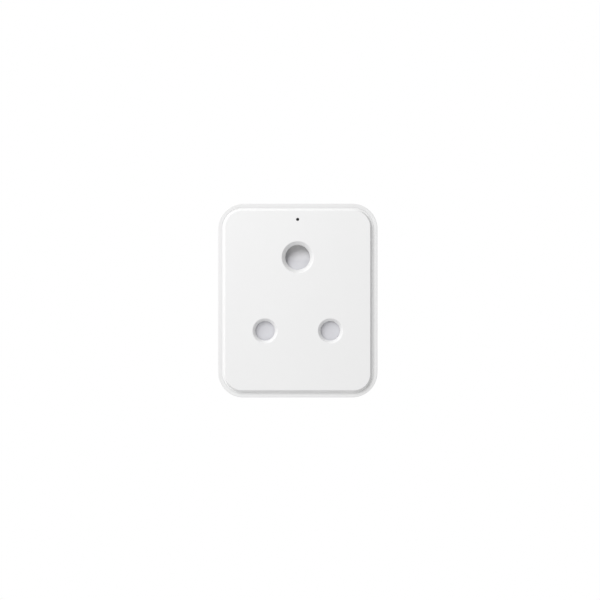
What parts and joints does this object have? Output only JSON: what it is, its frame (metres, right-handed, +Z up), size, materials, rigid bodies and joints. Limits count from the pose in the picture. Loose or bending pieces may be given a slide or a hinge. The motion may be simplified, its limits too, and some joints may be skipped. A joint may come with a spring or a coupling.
{
  "type": "plug in power meter",
  "caption": "Plug-through power meter with a rounded case, a shuttered round-pin socket in its face and a round-pin plug on its back.",
  "frame": {"origin": "centre of the back face, where it rests on the wall socket", "axes": "+Z up; +Y into the wall, along the plug pins; +X to the right as seen by the user facing the socket"},
  "size_m": [0.0625, 0.0726, 0.0754],
  "materials": {
    "white_plastic": "fine moulded gloss",
    "carrier_plastic": "moulded satin",
    "shutter_plastic": "moulded satin",
    "nickel": "bright nickel plate",
    "contact_brass": "stamped strip",
    "steel": "zinc plated",
    "copper": "enamelled copper wire",
    "board": "solder mask",
    "radio_board": "solder mask",
    "black_plastic": "moulded",
    "chip_plastic": "moulded epoxy",
    "sleeve": "shrink sleeve",
    "film_box": "moulded box",
    "varistor_coat": "epoxy coat",
    "resistor_coat": "fused lacquer",
    "ferrite": "sintered ferrite",
    "manganin": "drawn strip",
    "smoked_plastic": "smoked clear",
    "led_lens": "clear resin",
    "label_foil": "blank silver foil"
  },
  "bodies": {
    "housing": {"face_plate": "white_plastic", "body_shell": "white_plastic", "rear_cover": "white_plastic", "rating_plate": "label_foil", "earth_pin": "nickel", "line_pin": "nickel", "neutral_pin": "nickel", "pin_nuts": "steel", "earth_contact": "contact_brass", "line_contact": "contact_brass", "neutral_contact": "contact_brass", "earth_contact_clip": "steel", "line_contact_clip": "steel", "neutral_contact_clip": "steel", "contact_rivets": "contact_brass", "contact_carrier": "carrier_plastic", "carrier_screws": "steel", "board_screws": "steel", "cover_screws": "steel", "shutter_spring": "steel", "switch_body": "black_plastic", "light_pipe": "smoked_plastic", "status_led": "led_lens", "main_board": "board", "relay_base": "black_plastic", "relay_cover": "black_plastic", "relay_bobbin": "carrier_plastic", "relay_winding": "copper", "relay_yoke": "steel", "relay_fixed_contact": "manganin", "shunt_resistor": "manganin", "metering_chip": "chip_plastic", "supply_chip": "chip_plastic", "storage_capacitors": "sleeve", "film_capacitor": "film_box", "varistor": "varistor_coat", "fuse_resistor": "resistor_coat", "choke_core": "ferrite", "choke_winding": "copper", "module_header": "black_plastic", "radio_board": "radio_board", "radio_shield": "nickel", "earth_link": "contact_brass", "neutral_link": "contact_brass", "line_link": "contact_brass", "load_link": "contact_brass"},
    "shutter_slider": {"shutter": "shutter_plastic"},
    "power_button": {"power_button": "white_plastic"},
    "switch_plunger": {"switch_plunger": "black_plastic"},
    "relay_armature": {"relay_armature": "steel", "relay_blade": "manganin"}
  },
  "joints": [
    {"name": "shutter_slide", "type": "slide", "parent": "housing", "child": "shutter_slider", "axis": [0, 0, -1], "range_m": [0, 0.0096], "stiffness_N_per_m": 60, "springref_m": -0.006, "deforming": ["shutter_spring"]},
    {"name": "button_press", "type": "slide", "parent": "housing", "child": "power_button", "axis": [-1, 0, 0], "range_m": [0, 0.0005], "stiffness_N_per_m": 300, "springref_m": -0.002},
    {"name": "plunger_press", "type": "slide", "parent": "housing", "child": "switch_plunger", "axis": [-1, 0, 0], "range_m": [0, 0.0005]},
    {"name": "armature_hinge", "type": "hinge", "parent": "housing", "child": "relay_armature", "pos_m": [0.0073, -0.00678, -0.02635], "axis": [0, 0, -1], "range_deg": [0, 3], "stiffness_Nm_per_rad": 0.01, "springref_deg": -17.19}
  ],
  "couplings": [
    {"joint": "plunger_press", "follows": "button_press", "ratio": 1}
  ]
}
